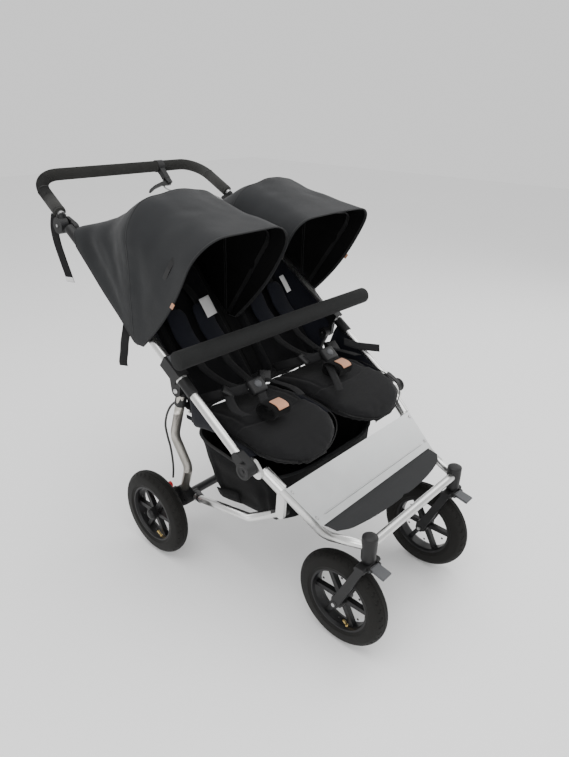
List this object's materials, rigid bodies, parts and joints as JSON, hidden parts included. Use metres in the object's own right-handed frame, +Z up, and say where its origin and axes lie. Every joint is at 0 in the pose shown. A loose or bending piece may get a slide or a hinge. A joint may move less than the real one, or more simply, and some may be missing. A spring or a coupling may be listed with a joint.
{
  "type": "twin pushchair",
  "caption": "Side-by-side twin pushchair with air wheels, swivel front casters, folding tube frame, two reclining seats with folding hoods, bumper bar and handlebar.",
  "frame": {"origin": "middle of the whole box, on the floor under the wheels", "axes": "+Z up, -Y the way the children face, -X the children's right"},
  "size_m": [0.716, 1.1974, 1.0365],
  "materials": {
    "tyre_rubber": "matt treaded rubber",
    "rim_plastic": "satin moulded nylon",
    "frame_aluminium": "satin anodised",
    "black_tube": "satin black",
    "steel": "zinc plated",
    "black_plastic": "fine textured",
    "dark_grey_plastic": "satin",
    "red_plastic": "satin red",
    "flap_rubber": "matt ribbed",
    "grip_foam": "closed-cell foam",
    "cable_sheath": "plain sheath",
    "seat_fabric": "plain weave polyester",
    "hood_fabric": "plain weave polyester",
    "basket_fabric": "plain weave polyester"
  },
  "bodies": {
    "seat_frame": {"side_rail_right": "frame_aluminium", "side_rail_left": "frame_aluminium", "fold_knuckles": "black_plastic", "joint_blocks": "black_plastic", "pivot_pins": "steel", "bumper_tube": "frame_aluminium", "bumper_foam": "grip_foam", "bumper_brackets": "black_plastic", "handle_sockets": "black_plastic", "seat_sling": "seat_fabric", "seat_pad_right": "seat_fabric", "seat_pad_left": "seat_fabric", "hood_rear_right": "hood_fabric", "hood_rear_left": "hood_fabric"},
    "front_frame": {"caster_housings": "black_plastic", "front_tubes": "frame_aluminium", "front_crossbar": "frame_aluminium", "footplate": "frame_aluminium", "footplate_flap": "flap_rubber", "footplate_screws": "steel", "fold_brackets": "frame_aluminium", "fold_pins": "black_plastic"},
    "fork_right": {"fork_right": "black_plastic", "front_axle_right": "steel"},
    "fork_left": {"fork_left": "black_plastic", "front_axle_left": "steel"},
    "lock_right": {"swivel_lock_right": "dark_grey_plastic"},
    "lock_left": {"swivel_lock_left": "dark_grey_plastic"},
    "front_wheel_right": {"tyre_front_right": "tyre_rubber", "rim_front_right": "rim_plastic"},
    "front_wheel_left": {"tyre_front_left": "tyre_rubber", "rim_front_left": "rim_plastic"},
    "rear_frame": {"rear_leg_right": "frame_aluminium", "rear_leg_left": "frame_aluminium", "leg_collars": "black_plastic", "axle_blocks": "black_plastic", "axle_cross_tube": "black_tube", "rear_axles": "steel", "leg_cables": "cable_sheath"},
    "rear_wheel_right": {"tyre_rear_right": "tyre_rubber", "rim_rear_right": "rim_plastic"},
    "rear_wheel_left": {"tyre_rear_left": "tyre_rubber", "rim_rear_left": "rim_plastic"},
    "pawl_right": {"brake_pawl_right": "red_plastic"},
    "pawl_left": {"brake_pawl_left": "red_plastic"},
    "base_frame": {"base_tubes": "frame_aluminium", "base_ends": "black_plastic", "basket": "basket_fabric"},
    "handlebar": {"handle_tube": "frame_aluminium", "handle_foam": "grip_foam", "handle_knuckles": "black_plastic", "brake_bracket": "black_plastic", "brake_cable": "cable_sheath"},
    "lever": {"brake_lever": "dark_grey_plastic"},
    "backrest_right": {"backrest_right": "seat_fabric"},
    "backrest_left": {"backrest_left": "seat_fabric"},
    "bow_right": {"hood_bow_right": "black_plastic", "hood_front_right": "hood_fabric"},
    "bow_left": {"hood_bow_left": "black_plastic", "hood_front_left": "hood_fabric"}
  },
  "joints": [
    {"name": "fold", "type": "hinge", "parent": "seat_frame", "child": "front_frame", "pos_m": [0, -0.26375, 0.452], "axis": [1, 0, 0], "range_deg": [0, 77], "deforming": ["basket"]},
    {"name": "leg_fold", "type": "hinge", "parent": "seat_frame", "child": "rear_frame", "pos_m": [0, -0.01175, 0.565], "axis": [1, 0, 0], "range_deg": [0, 29.11]},
    {"name": "base_fold", "type": "hinge", "parent": "rear_frame", "child": "base_frame", "pos_m": [0, 0.09025, 0.146], "axis": [1, 0, 0], "range_deg": [-18.48, 0]},
    {"name": "swivel_right", "type": "hinge", "parent": "front_frame", "child": "fork_right", "pos_m": [-0.195, -0.53475, 0.268], "axis": [0, 0, 1], "continuous": true},
    {"name": "swivel_left", "type": "hinge", "parent": "front_frame", "child": "fork_left", "pos_m": [0.195, -0.53475, 0.268], "axis": [0, 0, 1], "continuous": true},
    {"name": "spin_front_right", "type": "hinge", "parent": "fork_right", "child": "front_wheel_right", "pos_m": [-0.195, -0.47175, 0.127], "axis": [1, 0, 0], "continuous": true},
    {"name": "spin_front_left", "type": "hinge", "parent": "fork_left", "child": "front_wheel_left", "pos_m": [0.195, -0.47175, 0.127], "axis": [1, 0, 0], "continuous": true},
    {"name": "spin_rear_right", "type": "hinge", "parent": "rear_frame", "child": "rear_wheel_right", "pos_m": [-0.2946, 0.12825, 0.127], "axis": [1, 0, 0], "continuous": true},
    {"name": "spin_rear_left", "type": "hinge", "parent": "rear_frame", "child": "rear_wheel_left", "pos_m": [0.2946, 0.12825, 0.127], "axis": [1, 0, 0], "continuous": true},
    {"name": "lock_right_tilt", "type": "hinge", "parent": "fork_right", "child": "lock_right", "pos_m": [-0.195, -0.55375, 0.267], "axis": [1, 0, 0], "range_deg": [0, 15]},
    {"name": "lock_left_tilt", "type": "hinge", "parent": "fork_left", "child": "lock_left", "pos_m": [0.195, -0.55375, 0.267], "axis": [1, 0, 0], "range_deg": [0, 15]},
    {"name": "handle_angle", "type": "hinge", "parent": "seat_frame", "child": "handlebar", "pos_m": [0, 0.43225, 0.908], "axis": [1, 0, 0], "range_deg": [-45, 45]},
    {"name": "brake_squeeze", "type": "hinge", "parent": "handlebar", "child": "lever", "pos_m": [0.135, 0.53425, 0.972], "axis": [0, 0.7071, -0.7071], "range_deg": [0, 18], "stiffness_Nm_per_rad": 1, "springref_deg": -11.46},
    {"name": "pawl_right_travel", "type": "slide", "parent": "rear_frame", "child": "pawl_right", "axis": [-1, 0, 0], "range_m": [0, 0.008]},
    {"name": "pawl_left_travel", "type": "slide", "parent": "rear_frame", "child": "pawl_left", "axis": [1, 0, 0], "range_m": [0, 0.008]},
    {"name": "recline_right", "type": "hinge", "parent": "seat_frame", "child": "backrest_right", "pos_m": [-0.137, -0.01175, 0.492], "axis": [1, 0, 0], "range_deg": [-30, 0]},
    {"name": "recline_left", "type": "hinge", "parent": "seat_frame", "child": "backrest_left", "pos_m": [0.137, -0.01175, 0.492], "axis": [1, 0, 0], "range_deg": [-30, 0]},
    {"name": "hood_right_fold", "type": "hinge", "parent": "seat_frame", "child": "bow_right", "pos_m": [-0.1645, 0.11325, 0.664], "axis": [1, 0, 0], "range_deg": [-30, 0], "deforming": ["hood_front_right"]},
    {"name": "hood_left_fold", "type": "hinge", "parent": "seat_frame", "child": "bow_left", "pos_m": [0.1645, 0.11325, 0.664], "axis": [1, 0, 0], "range_deg": [-30, 0], "deforming": ["hood_front_left"]}
  ],
  "couplings": [
    {"joint": "leg_fold", "follows": "fold", "ratio": 0.378},
    {"joint": "base_fold", "follows": "fold", "ratio": -0.24},
    {"joint": "pawl_right_travel", "follows": "brake_squeeze", "m_per_rad": 0.024828},
    {"joint": "pawl_left_travel", "follows": "brake_squeeze", "m_per_rad": 0.024828}
  ]
}
